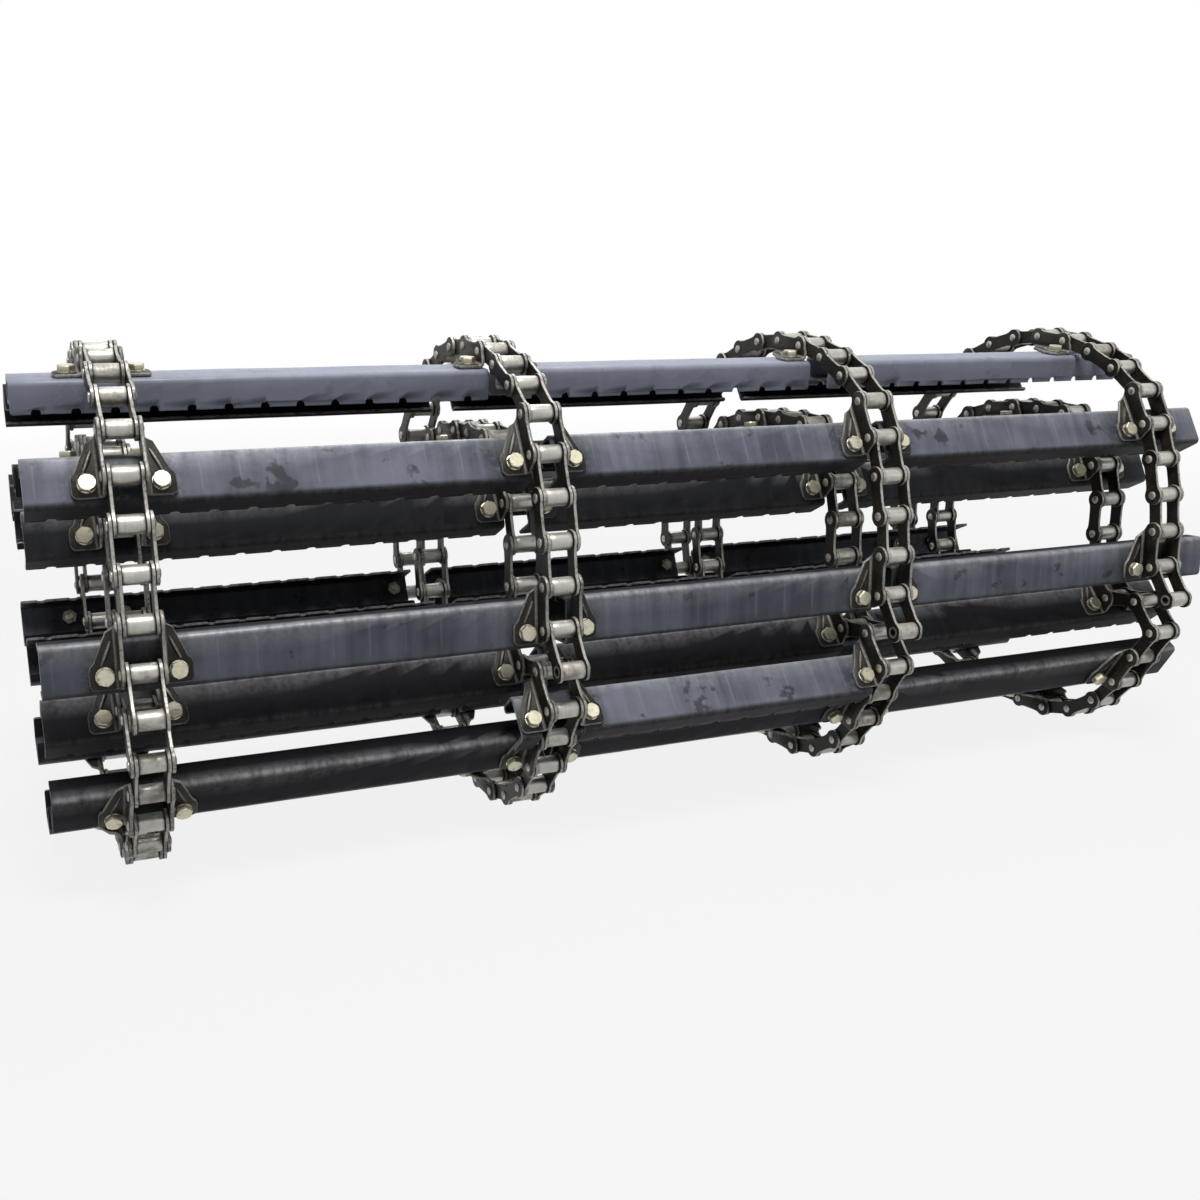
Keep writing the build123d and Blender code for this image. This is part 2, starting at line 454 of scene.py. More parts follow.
# ---- templates of the pieces ------------------------------------------------------------
UPRIGHT = Matrix(((0, 0, 1, 0), (1, 0, 0, 0), (0, 1, 0, 0), (0, 0, 0, 1)))
MIRROR = Matrix.Scale(-1, 4, (1, 0, 0))
EASE = 0.45 * MM


def both(shapes):
    """The shapes and their mirror images across the strand."""
    return [s.moved(m) for m in (Matrix(), MIRROR) for s in shapes]


def side_plate(sizes, middle_x, bored=False):
    """Waisted side plate with two round eyes, upright in the link's frame."""
    r, pitch, waist = sizes.eye_radius, sizes.pitch, sizes.waist / 2
    below = [(9.3 * MM, -waist - 0.25 * MM), (13.5 * MM, -waist)]
    below += [(pitch - y, z) for y, z in below[::-1]]
    outline = arc((0, 0), r, 52, 308, 14) + below + arc((pitch, 0), r, -128, 128, 14)
    outline += [(y, -z) for y, z in below[::-1]]
    thick = sizes.plate_thick
    holes = [arc((0, 0), sizes.bush_radius, 345, 0, 23)] if bored else []
    mesh = slab(outline, thick, EASE, holes)
    worn = worn_rim(mesh, thick, EASE)
    return Shape(mesh, worn).moved(Matrix.Translation((middle_x, 0, 0)) @ UPRIGHT)


def roller_shape(sizes):
    """Hollow roller with eased ends."""
    r, hollow, half = sizes.roller_radius, sizes.bush_radius + 0.1 * MM, sizes.inner_x - 0.3 * MM
    ease = 0.7 * MM
    ring = [(-half, hollow, 0.6), (-half, r - ease, 0.8), (-half + ease * 0.3, r - ease * 0.3, 1)]
    ring += [(-half + ease, r, 0.5), (-half * 0.4, r, 0), (half * 0.4, r, 0), (half - ease, r, 0.5)]
    ring += [(half - ease * 0.3, r - ease * 0.3, 1), (half, r - ease, 0.8), (half, hollow, 0.6)]
    ring += [(-half, hollow, 0.6)]
    return lathe(ring, 24)


def bush_shape(sizes):
    """Open bush of the free end."""
    half = sizes.inner_x + sizes.plate_thick
    outer, bore = sizes.bush_radius, sizes.pin_radius + 0.1 * MM
    ring = [(-half, bore, 1), (-half, outer, 1), (half, outer, 1), (half, bore, 1), (-half, bore, 0)]
    return lathe(ring, 24)


def pin_head(sizes):
    """Domed end of a pin, on the +X side."""
    start = sizes.outer_x + sizes.plate_thick - 0.2 * MM
    rings = [(start, 4.3, 0.4), (start + 0.9 * MM, 4.25, 1), (start + 1.5 * MM, 3.5, 1)]
    rings += [(start + 1.9 * MM, 2.0, 0.8), (start + 2.0 * MM, 0, 0.6)]
    return lathe([(x, r * MM, worn) for x, r, worn in rings], 14)


def pin_shaft(sizes):
    """Plain shaft of a pin between its plates."""
    half = sizes.outer_x + sizes.plate_thick / 2
    return lathe([(-half, sizes.pin_radius, 0.2), (half, sizes.pin_radius, 0.2)], 12)


def lug_plate(sizes, lugs):
    """Outer plate bent outwards into a triangular lug, on the +X side."""
    r, pitch = sizes.eye_radius, sizes.pitch
    thick = 3.5 * MM
    bend, foot_z = 4.6 * MM, -12.25 * MM
    straight = r - (foot_z + bend)
    bend_length = bend * math.pi / 2
    middle_x = sizes.outer_x + thick / 2
    far = straight + bend_length + lugs.reach - middle_x - bend
    near_eye = [(y, r - z) for y, z in arc((0, 0), r, 180, 52, 14)]
    neck = [(9.3 * MM, r - 7.2 * MM), (13.5 * MM, r - 7.0 * MM)]
    neck += [(pitch - y, v) for y, v in neck[::-1]]
    far_eye = [(y, r - z) for y, z in arc((pitch, 0), r, 128, -48, 18)]
    toe = [(41.5 * MM, straight + 2 * MM), (38 * MM, straight + 4.5 * MM)]
    toe += [(lugs.tip - 1.0 * MM, straight + bend_length + 0.5 * MM)]
    toe += [(lugs.tip - 3.5 * MM, straight + bend_length + 5 * MM)]
    corner = 5 * MM
    side = [(lugs.shoulder + 4.6 * MM, far - 4.0 * MM), (lugs.shoulder + 1.5 * MM, far - 1.0 * MM)]
    side += [(lugs.shoulder - 2.0 * MM, far)]
    side += [(y, v) for y, v in arc((-lugs.back + corner, far - corner), corner, 90, 180, 6)]
    heel = [(-lugs.back, straight + 3 * MM), (-lugs.back + 0.6 * MM, straight - 2 * MM)]
    heel += [(-lugs.back + 2.2 * MM, straight - 5.5 * MM)]
    outline = near_eye + neck + far_eye + toe + side + heel
    mesh = slab(outline, thick, 0.7 * MM)
    bends = [straight + bend_length * k / 5 for k in range(6)]
    more = [straight * 0.5, straight + bend_length + 10 * MM]
    mesh = scored(mesh, bends + more)
    shape = Shape(mesh)
    shape.worn = (np.abs(shape.points[:, 2]) < thick / 2 - 0.35 * MM).astype(float)
    down = shape.points[:, 1]
    shape.worn = np.maximum(shape.worn, 0.55 * ((down > bends[1]) & (down < bends[4])))
    runs = [(straight, 0), (bend_length, math.pi / 2), (far - straight - bend_length, 0)]
    fold(shape, runs, (middle_x, r), -math.pi / 2)
    swap = Matrix(((0, 1, 0, 0), (1, 0, 0, 0), (0, 0, 1, 0), (0, 0, 0, 1)))
    return shape.moved(swap)


def lug_rib():
    """Pressed rib on a lug's foot, from its tip towards the bolt."""
    start, end = Vector((22.3, 25.5, -10.6)), Vector((30.5, 6.5, -10.6))
    along = (end - start).normalized()
    across = Vector((along.y, -along.x, 0))
    work = bmesh.new()
    rings, worn = [], []
    for k in range(9):
        part = k / 8
        width = 2.4 * math.sin(math.pi * (0.06 + 0.88 * part)) ** 0.45
        height = 1.7 * math.sin(math.pi * (0.02 + 0.96 * part)) ** 0.6
        ring = []
        for side, rise in ((-1, 0), (-0.6, 0.75), (0, 1), (0.6, 0.75), (1, 0)):
            place = start.lerp(end, part) + across * (side * width) + Vector((0, 0, rise * height))
            ring.append(work.verts.new(place * MM))
            worn.append(0.9 if rise == 1 else 0.0)
        rings.append(ring)
    for near, far in zip(rings, rings[1:]):
        for k in range(4):
            work.faces.new([near[k], far[k], far[k + 1], near[k + 1]])
    for ring in (rings[0][::-1], rings[-1]):
        work.faces.new(ring)
    bmesh.ops.recalc_face_normals(work, faces=work.faces)
    return shape_of(work, worn)


def slat_outline(start, end, sizes, necks=()):
    """Flat blank of a slat: half-round notches along y = 0, and necks cut from that edge."""
    count = int((end - start) / sizes.notch_step)
    first = (start + end - (count - 1) * sizes.notch_step) / 2
    total = sum(run[0] for run in slat_runs(sizes))
    corner, margin = 2 * MM, 6 * MM
    points = arc((start + corner, corner), corner, 180, 270, 4)
    notches = [first + k * sizes.notch_step for k in range(count)]
    cuts = [(x, None) for x in notches if not any(a - margin < x < b + margin for a, b, _ in necks)]
    cuts += [(neck[0], neck) for neck in necks]
    cut_end = False
    for x, neck in sorted(cuts, key=lambda cut: cut[0]):
        if neck:
            low, high, depth = neck
            cut_end = high > end
            points += [(low, 0), (low, depth), (min(high, end), depth)]
            points += [] if cut_end else [(high, 0)]
            continue
        r = sizes.notch_radius
        points += [(x - r, 0)] + arc((x, sizes.notch_depth - r), r, 180, 0, 8) + [(x + r, 0)]
    points += [] if cut_end else arc((end - corner, corner), corner, 270, 360, 4)
    points += arc((end - corner, total - corner), corner, 0, 90, 4)
    points += arc((start + corner, total - corner), corner, 90, 180, 4)
    return points


def slat_runs(sizes):
    """Straights and bends of a slat, from its notched edge to its lip."""
    half = sizes.sheet / 2
    quarter, lip_quarter = SLAT_BEND * math.pi / 2, LIP_BEND * math.pi / 2
    return [
        (sizes.depth - half - SLAT_BEND, 0),
        (quarter, -math.pi / 2),
        (sizes.width - 2 * half - 2 * SLAT_BEND, 0),
        (quarter, -math.pi / 2),
        (sizes.plain_depth - 2 * half - SLAT_BEND - LIP_BEND, 0),
        (lip_quarter, -math.pi / 2),
        (sizes.lip - half - LIP_BEND, 0),
    ]


def slat_shape(start, end, sizes, seed, necks=()):
    """Folded slat in its link's frame, with slight dents."""
    runs = slat_runs(sizes)
    mesh = slab(slat_outline(start, end, sizes, necks), sizes.sheet, 0.4 * MM)
    lines, v = [], 0.0
    for run_length, turn in runs:
        steps = 4 if turn else 2
        lines += [v + run_length * k / steps for k in range(1, steps + 1)]
        v += run_length
    across = np.arange(start + 30 * MM, end - 10 * MM, 30 * MM)
    shape = Shape(scored(mesh, [y for y in lines if y < v - 1 * MM], across))
    y = shape.points[:, 1]
    shape.worn = (np.abs(shape.points[:, 2]) < sizes.sheet / 2 - 0.2 * MM) * 1.0
    first_bend, bend_length = runs[0][0], runs[1][0]
    # The bends count as worn, so the paint turns pale along them, most on the second: partly rubbed paint
    # and partly a painted highlight of the rounded bends.
    bend_wear_and_highlight = 0.2 * np.clip(1 - np.abs(y - first_bend - bend_length / 2) / (bend_length * 0.7), 0, 1)
    second = first_bend + bend_length + runs[2][0]
    bend_wear_and_highlight += 0.8 * np.clip(1 - np.abs(y - second - bend_length / 2) / (bend_length * 0.8), 0, 1)
    shape.worn = np.maximum(shape.worn, np.minimum(bend_wear_and_highlight, 1))
    low = sizes.offset - sizes.width / 2 + sizes.sheet / 2
    fold(shape, runs, (low, -SLAT_TOP - sizes.depth), math.pi / 2)
    for point in shape.points:
        sway = noise.noise(Vector((point[0] * 7, seed * 3.1, point[1] * 9)))
        point[2] += -abs(sway) * 0.7 * MM
        sway = noise.noise(Vector((point[0] * 9, seed * 5.3 + 9, point[2] * 12)))
        point[1] += sway * 0.5 * MM
    return shape


def hexagon(across, low, high, chamfer):
    """Hexagonal head about Z with a chamfered top."""
    corner = across / math.sqrt(3)
    work = bmesh.new()
    levels = [(low, corner), (high - chamfer, corner), (high, corner * 0.86)]
    rings, worn = [], []
    for z, radius in levels:
        ring = []
        for k in range(12):
            turn = math.pi * k / 6
            full = corner if k % 2 == 0 else corner * math.cos(math.pi / 6)
            reach = min(full, radius) if z == high else full
            ring.append(work.verts.new((reach * math.cos(turn), reach * math.sin(turn), z)))
            worn.append(1.0 if z > low else 0.3)
        rings.append(ring)
    for near, far in zip(rings, rings[1:]):
        for k in range(12):
            work.faces.new([near[k], near[(k + 1) % 12], far[(k + 1) % 12], far[k]])
    work.faces.new(rings[-1])
    work.faces.new(rings[0][::-1])
    return shape_of(work, worn)


def bolt_shapes(lugs):
    """Bolt through a lug and the slat under it: washer, head, nut and thread end."""
    washer = [(-10.7, 0, 0.5), (-10.7, 7.4, 0.6), (-9.6, 7.4, 1), (-9.4, 7.0, 1), (-9.4, 0, 0.5)]
    thread = [(-23.5, 0, 0.4), (-23.5, 3.2, 0.8), (-22.8, 3.9, 1), (-17, 3.9, 0.4)]
    turned = [lathe([(x * MM, r * MM, w) for x, r, w in ring], 18) for ring in (washer, thread)]
    upright = Matrix.Rotation(-math.pi / 2, 4, "Y")
    shapes = [t.moved(upright) for t in turned]
    shapes.append(hexagon(lugs.head_across, -9.4 * MM, -4.2 * MM, 0.9 * MM))
    shapes.append(hexagon(lugs.head_across, -21.8 * MM, -17.0 * MM, 0.9 * MM))
    place = Matrix.Translation((lugs.bolt_x, lugs.bolt_y, 0)) @ Matrix.Rotation(0.3, 4, "Z")
    return [s.moved(place) for s in shapes]


# ---- finishes ----------------------------------------------------------------------------
class Value:
    """A number in a node tree, for plain arithmetic."""

    def __init__(self, tree, socket):
        self.tree = tree
        self.socket = socket

    def maths(self, operation, *values):
        """A Math node on this number and others."""
        node = self.tree.nodes.new("ShaderNodeMath")
        node.operation = operation
        for slot, value in zip(node.inputs, values):
            if isinstance(value, Value):
                self.tree.links.new(value.socket, slot)
            else:
                slot.default_value = value
        return Value(self.tree, node.outputs[0])

    def __add__(self, other):
        return self.maths("ADD", self, other)

    def __radd__(self, other):
        return self.maths("ADD", other, self)

    def __sub__(self, other):
        return self.maths("SUBTRACT", self, other)

    def __rsub__(self, other):
        return self.maths("SUBTRACT", other, self)

    def __mul__(self, other):
        return self.maths("MULTIPLY", self, other)

    def __rmul__(self, other):
        return self.maths("MULTIPLY", other, self)

    def __truediv__(self, other):
        return self.maths("DIVIDE", self, other)

    def most(self, other):
        """The larger of two numbers."""
        return self.maths("MAXIMUM", self, other)

    def least(self, other):
        """The smaller of two numbers."""
        return self.maths("MINIMUM", self, other)

    def size(self):
        """The number without its sign."""
        return self.maths("ABSOLUTE", self)

    def floor(self):
        """The number rounded down."""
        return self.maths("FLOOR", self)

    def fraction(self):
        """What is left over after rounding down."""
        return self.maths("FRACT", self)

    def clamped(self):
        """The number held between 0 and 1."""
        return self.most(0.0).least(1.0)

    def between(self, low, high):
        """0 below low and 1 above high, with a straight rise."""
        return ((self - low) / (high - low)).clamped()


class Finish:
    """Node tree of one material."""

    def __init__(self, name):
        self.material = bpy.data.materials.new(name)
        self.material.use_nodes = True
        self.tree = self.material.node_tree
        self.tree.nodes.clear()

    def add(self, kind, settings=None, values=None, output=0):
        """A node with its settings, then the values or links of its sockets."""
        node = self.tree.nodes.new(kind)
        for key, setting in (settings or {}).items():
            setattr(node, key, setting)
        for key, value in (values or {}).items():
            slot = node.inputs[key]
            if isinstance(value, Value):
                self.tree.links.new(value.socket, slot)
            elif slot.type == "RGBA" and len(value) == 3:
                slot.default_value = (*value, 1)
            else:
                slot.default_value = value
        return Value(self.tree, node.outputs[output]) if node.outputs else None

    def attribute(self, name, output=2):
        """A number kept on the mesh; output 1 is a vector."""
        return self.add("ShaderNodeAttribute", {"attribute_name": name}, output=output)

    def parts(self, vector):
        """X, Y and Z of a vector."""
        split = self.add("ShaderNodeSeparateXYZ", values={0: vector}).socket.node
        return [Value(self.tree, out) for out in split.outputs]

    def stretched(self, vector, scale):
        """A vector times a scale on each axis."""
        values = {0: vector, 1: scale}
        return self.add("ShaderNodeVectorMath", {"operation": "MULTIPLY"}, values)

    def moved(self, vector, shift):
        """A vector moved by a number on every axis."""
        amount = self.add("ShaderNodeCombineXYZ", values={0: shift, 1: shift, 2: shift})
        return self.add("ShaderNodeVectorMath", {"operation": "ADD"}, {0: vector, 1: amount})

    def grain(self, vector, scale, detail=3.0, roughness=0.55):
        """Noise from 0 to 1."""
        values = {"Vector": vector, "Scale": scale, "Detail": detail, "Roughness": roughness}
        return self.add("ShaderNodeTexNoise", {"noise_dimensions": "3D"}, values)

    def mix(self, share_of, first, second):
        """A colour between two colours."""
        values = {0: share_of, 6: first, 7: second}
        return self.add("ShaderNodeMix", {"data_type": "RGBA"}, values, output=2)

    def bump(self, height, distance, strength=1.0):
        """A surface normal from a height."""
        values = {"Height": height, "Distance": distance, "Strength": strength}
        return self.add("ShaderNodeBump", {}, values)

    def surface(self, **values):
        """The metal or paint shader, wired to the output."""
        names = {key.replace("_", " ").title().replace("Ior", "IOR"): v for key, v in values.items()}
        shader = self.add("ShaderNodeBsdfPrincipled", {}, names)
        self.add("ShaderNodeOutputMaterial", {}, {"Surface": shader})
        return self.material


def toned(colour_of, times):
    """A colour made darker or lighter."""
    return tuple(c * times for c in colour_of)


def upward(finish):
    """How far a surface faces up."""
    normal = finish.add("ShaderNodeNewGeometry", output=1)
    return finish.parts(normal)[2]


def slat_paint(name, finishes):
    """Semi-gloss paint with dust, dark stains and rubbed rims, pale bends that are partly wear and partly
    a painted highlight, faint press lines and facets with a painted sheen, painted shade on the folded
    sides and the inner lap, and painted light on the top rows.
    """
    finish = Finish(name)
    blank, tone, worn = finish.attribute("blank", 1), finish.attribute("tone"), finish.attribute("worn")
    x, y, _ = finish.parts(blank)
    place = finish.moved(blank, tone * 7.0)
    clouds = finish.grain(place, 9.0, 4.0, 0.6)
    fine = finish.grain(place, 240.0, 3.0, 0.6)
    streaks = finish.grain(finish.stretched(place, (95.0, 9.0, 9.0)), 1.0, 3.0, 0.5)
    runs = finish.grain(finish.stretched(place, (7.0, 160.0, 9.0)), 1.0, 2.0, 0.5)
    # Press lines at the notch spacing are bumped and also painted lighter, a painted sheen; each facet
    # between them gets a painted sheen, a little lighter or darker at random.
    pressed = (x / 0.0315 + 0.5).fraction()
    line = 1 - (pressed - 0.5).size().between(0.0, 0.04)
    on_web = y.between(0.030, 0.034) * (1 - y.between(0.058, 0.061))
    line = line * on_web * streaks.between(0.38, 0.55)
    lively = clouds * 0.7 + streaks * 0.3
    dark, light = (toned(finishes.paint, k) for k in (0.62, 1.3))
    facet_sheen = finish.add(
        "ShaderNodeTexWhiteNoise",
        {"noise_dimensions": "1D"},
        {"W": (x / 0.0315 + 0.5).floor() + tone * 37.0},
    )
    lively = lively + (facet_sheen - 0.5) * 0.09 * on_web
    base = finish.mix(lively.between(0.38, 0.62), dark, light)
    base = finish.mix(line * 0.55, base, toned(finishes.paint, 1.7))
    blots = finish.grain(place, 34.0, 3.0, 0.6).between(0.61, 0.65)
    beside = ((x / 0.3548).fraction() - 0.5).size() * 0.3548 + clouds * 0.05
    stains = blots.most((1 - beside.between(0.062, 0.078)) * fine.between(0.35, 0.5))
    base = finish.mix(stains * 0.68, base, (0.018, 0.018, 0.021))
    upper = upward(finish)
    dust = upper.between(0.2, 0.95) * (fine * 0.5 + clouds * 0.5).between(0.42, 0.75)
    base = finish.mix(dust * 0.16, base, finishes.dust)
    # Painted shade: the folded sides are painted near black, except on slats of tone 0.9 and more.
    flange_shade = (1 - y.between(0.0262, 0.0285)).most(y.between(0.0672, 0.0690))
    flange_shade = flange_shade * (1 - tone.between(0.8, 0.9))
    # Slats with a tone under 0.6 get painted shade, fully on the inner lap.
    shade = (flange_shade * 0.96).most((1 - tone.between(0.2, 0.6)) * 0.95)
    # Painted light: slats of tone 1 and more, the top rows, are painted lighter.
    base = finish.mix(tone.between(1.0, 1.5) * 0.55, base, toned(finishes.paint, 2.6))
    # The painted shade is a near-black colour on the folded sides and on the low-tone slats.
    base = finish.mix(shade, base, (0.0065, 0.0068, 0.0082))
    # Worn rims and bends turn pale; on the bends this is partly a painted highlight.
    scuffs = worn * (0.35 + 0.65 * (fine * 0.5 + streaks * 0.5).between(0.36, 0.58))
    rubbed = (scuffs * (0.35 + finishes.wear)).clamped()
    base = finish.mix(rubbed * 0.75, base, (0.44, 0.445, 0.46))
    rough = 0.30 + dust * 0.35 + clouds * 0.12 - rubbed * 0.05 + shade * 0.25
    height = clouds * 0.5 + fine * 0.06 + line * 0.15 + runs * 0.12
    normal = finish.bump(height, 0.0009, 0.5)
    return finish.surface(
        base_color=base, roughness=rough, normal=normal, metallic=rubbed * 0.3, specular_ior_level=0.10
    )


def oiled_steel(name, finishes, wear, dusty=0.12):
    """Dark oiled steel with rims worn bright, dust and brown stains."""
    finish = Finish(name)
    tone, worn = finish.attribute("tone"), finish.attribute("worn")
    place = finish.moved(finish.attribute("blank", 1), tone * 3.0)
    clouds = finish.grain(place, 45.0, 4.0, 0.6)
    fine = finish.grain(place, 420.0, 3.0, 0.6)
    dark, light = (toned(finishes.black_steel, k) for k in (0.5, 1.8))
    base = finish.mix((clouds * 0.75 + tone * 0.25).between(0.35, 0.65), dark, light)
    rust = (clouds * 0.5 + fine * 0.5).between(0.52, 0.60)
    base = finish.mix(rust * 0.45, base, (0.075, 0.050, 0.028))
    dust = upward(finish).between(0.3, 1.0) * fine.between(0.45, 0.7)
    base = finish.mix(dust * dusty, base, finishes.dust)
    rubbed = (worn * (0.25 + 0.75 * (clouds * 0.5 + fine * 0.5).between(0.36, 0.54)) * wear).clamped()
    base = finish.mix(rubbed, base, finishes.bright_steel)
    rough = 0.34 + clouds * 0.22 + dust * 0.2 - rubbed * 0.1
    normal = finish.bump(clouds * 0.4 + fine * 0.2, 0.0004, 0.6)
    return finish.surface(
        base_color=base, roughness=rough, normal=normal, metallic=rubbed * 0.6, specular_ior_level=0.22
    )


def bright_rollers(name, finishes):
    """Turned steel rollers with brown stains, dull ends and fine turning marks."""
    finish = Finish(name)
    blank, tone = finish.attribute("blank", 1), finish.attribute("tone")
    x, _, _ = finish.parts(blank)
    place = finish.moved(blank, tone * 3.0)
    clouds = finish.grain(place, 70.0, 4.0, 0.65)
    fine = finish.grain(place, 500.0, 3.0, 0.6)
    rings = finish.grain(finish.stretched(place, (2600.0, 25.0, 25.0)), 1.0, 2.0, 0.5)
    ends = x.size().between(0.0086, 0.0103)
    steel = finishes.bright_steel
    dull = toned(steel, 0.74)
    base = finish.mix((clouds * 0.6 + rings * 0.4).between(0.38, 0.62), dull, steel)
    stains = (clouds * 0.6 + fine * 0.15 + tone * 0.25).between(0.55, 0.68)
    base = finish.mix(stains * 0.6, base, (0.16, 0.125, 0.08))
    base = finish.mix((ends * clouds.between(0.35, 0.55)) * 0.75, base, (0.05, 0.042, 0.032))
    rough = 0.30 + stains * 0.25 + clouds * 0.12
    normal = finish.bump(rings * 0.5 + fine * 0.4, 0.0002, 0.5)
    return finish.surface(base_color=base, roughness=rough, normal=normal, metallic=0.62 - stains * 0.4)


def plated(name, colour_of, finishes):
    """Plated bolts or bright pin ends with grime in the low places."""
    finish = Finish(name)
    tone, worn = finish.attribute("tone"), finish.attribute("worn")
    place = finish.moved(finish.attribute("blank", 1), tone * 3.0)
    clouds = finish.grain(place, 160.0, 4.0, 0.6)
    base = finish.mix(clouds.between(0.35, 0.7), toned(colour_of, 0.7), colour_of)
    grime = ((1 - worn) * 0.7 + clouds.between(0.55, 0.7) * 0.6).clamped()
    base = finish.mix(grime, base, toned(finishes.black_steel, 1.6))
    rough = 0.32 + clouds * 0.2
    normal = finish.bump(clouds, 0.0002, 0.5)
    return finish.surface(base_color=base, roughness=rough, normal=normal, metallic=0.8 - grime * 0.6)


def shown_rays(finish):
    """1 for what the camera, a gloss or a glass shows."""
    rays = finish.add("ShaderNodeLightPath").socket.node.outputs
    camera, glossy, through = (
        Value(finish.tree, rays[name])
        for name in ("Is Camera Ray", "Is Glossy Ray", "Is Transmission Ray")
    )
    return camera.most(glossy).most(through)


def pale_floor(name, finish_colour):
    """Pale floor that stays white and keeps the shadow."""
    finish = Finish(name)
    speckle = finish.grain(finish.add("ShaderNodeTexCoord", output=3), 60.0)
    paint = finish.mix(speckle * 0.1, finish_colour, toned(finish_colour, 0.9))
    matt = finish.add("ShaderNodeBsdfDiffuse", {}, {"Color": paint})
    glow = finish.add("ShaderNodeEmission", {}, {"Color": (1, 1, 1), "Strength": 1.0})
    place = finish.add("ShaderNodeTexCoord", output=3)
    away = finish.add("ShaderNodeVectorMath", {"operation": "LENGTH"}, {0: place}, output=1)
    share_of = shown_rays(finish) * (0.86 + 0.14 * away.between(1.2, 4.0))
    both_of = finish.add("ShaderNodeMixShader", {}, {0: share_of, 1: matt, 2: glow})
    finish.add("ShaderNodeOutputMaterial", {}, {"Surface": both_of})
    return finish.material


def white_world():
    """World that shows white and lights softly."""
    world = bpy.data.worlds.new("studio")
    world.use_nodes = True
    world.node_tree.nodes.clear()
    finish = object.__new__(Finish)
    finish.tree = world.node_tree
    strength = 0.06 + shown_rays(finish) * 0.94
    back = finish.add("ShaderNodeBackground", {}, {"Color": (1, 1, 1), "Strength": strength})
    finish.add("ShaderNodeOutputWorld", {}, {"Surface": back})
    return world


# ---- operators -----------------------------------------------------------------------------
def get_finish(name, make):
    """The finish of that name, made once."""
    return bpy.data.materials.get(name) or make(name)


class CHAIN_OT_plates(bpy.types.Operator):
    """Side plates of the links, free end and roll"""

    bl_idname = "chain.plates"
    bl_label = "Side plates"

    def execute(self, context):
        sizes, looks = context.scene.chain_sizes, context.scene.chain_looks
        steel = get_finish("oiled plates", lambda name: oiled_steel(name, looks, looks.wear))
        noise.seed_set(11)
        half = sizes.plate_thick / 2
        inner = both([side_plate(sizes, sizes.inner_x + half)])
        outer = both([side_plate(sizes, sizes.outer_x + half)])
        bored = both([side_plate(sizes, sizes.inner_x + half, bored=True)])
        numbered = strands(sizes.strand_step)
        for link in FREE_INNER_LINKS:
            shapes = laid([link], numbered, lambda link, _: inner if link else bored)
            if link == 0:
                shapes += laid([link], numbered, lambda *_: [bush_shape(sizes)])
            node = f"flap_inner_links_{link + 1}"
            joined(f"inner_plates_{link + 1}", shapes, steel, f"link_{link + 1}", [node])
        shapes = laid([FREE_OUTER_LINK], numbered, lambda *_: outer)
        joined("outer_plates_4", shapes, steel, "link_4", ["flap_outer_links_4"])
        shapes = laid([FLAP_LINKS], numbered, lambda *_: outer)
        joined("carrier_plates", shapes, steel, "roll", ["roll_carrier_links"])
        coiled = range(FLAP_LINKS + 1, LINKS)

        def without_lugs(link, number):
            return [s for s, side in zip(outer, (1, -1)) if side not in lug_sides(link, number)]

        for number, x in numbered:
            shapes = laid([k for k in coiled if is_inner(k)], [(number, x)], lambda *_: inner)
            node = f"roll_inner_plates_{number}"
            joined(f"coiled_inner_plates_{number}", shapes, steel, "roll", [node])
            shapes = laid([k for k in coiled if not is_inner(k)], [(number, x)], without_lugs)
            node = f"roll_outer_plates_{number}"
            joined(f"coiled_outer_plates_{number}", shapes, steel, "roll", [node])
        return {"FINISHED"}


def lug_sides(link, number):
    """Sides of a strand's link that carry a lug."""
    if link == EXTRA_ROW:
        return {2: (1, -1), 3: (-1,)}.get(number, ())
    return (1, -1) if is_slat_row(link) else ()


def by_sides(shapes):
    """Gives the shapes for each side of a link that carries a lug."""
    pair = {1: shapes, -1: [s.moved(MIRROR) for s in shapes]}
    return lambda link, number: [s for side in lug_sides(link, number) for s in pair[side]]


class CHAIN_OT_lugs(bpy.types.Operator):
    """Bent lugs of the slat rows"""

    bl_idname = "chain.lugs"
    bl_label = "Lugs"

    def execute(self, context):
        sizes, lugs = context.scene.chain_sizes, context.scene.chain_lugs
        looks = context.scene.chain_looks
        steel = get_finish("oiled lugs", lambda name: oiled_steel(name, looks, looks.wear * 0.8))
        noise.seed_set(12)
        lug = [lug_plate(sizes, lugs), lug_rib()]
        numbered = strands(sizes.strand_step)
        at_lugs = by_sides(lug)
        for link in FREE_LUG_LINKS:
            shapes = laid([link], numbered, at_lugs)
            node, body = f"flap_lug_links_{link + 1}", f"link_{link + 1}"
            joined(f"lugs_{link + 1}", shapes, steel, body, [node], 50)
        for number, x in numbered:
            shapes = laid(range(FLAP_LINKS + 1, LINKS), [(number, x)], at_lugs)
            node = f"roll_lug_plates_{number}"
            joined(f"coiled_lugs_{number}", shapes, steel, "roll", [node], 50)
        return {"FINISHED"}


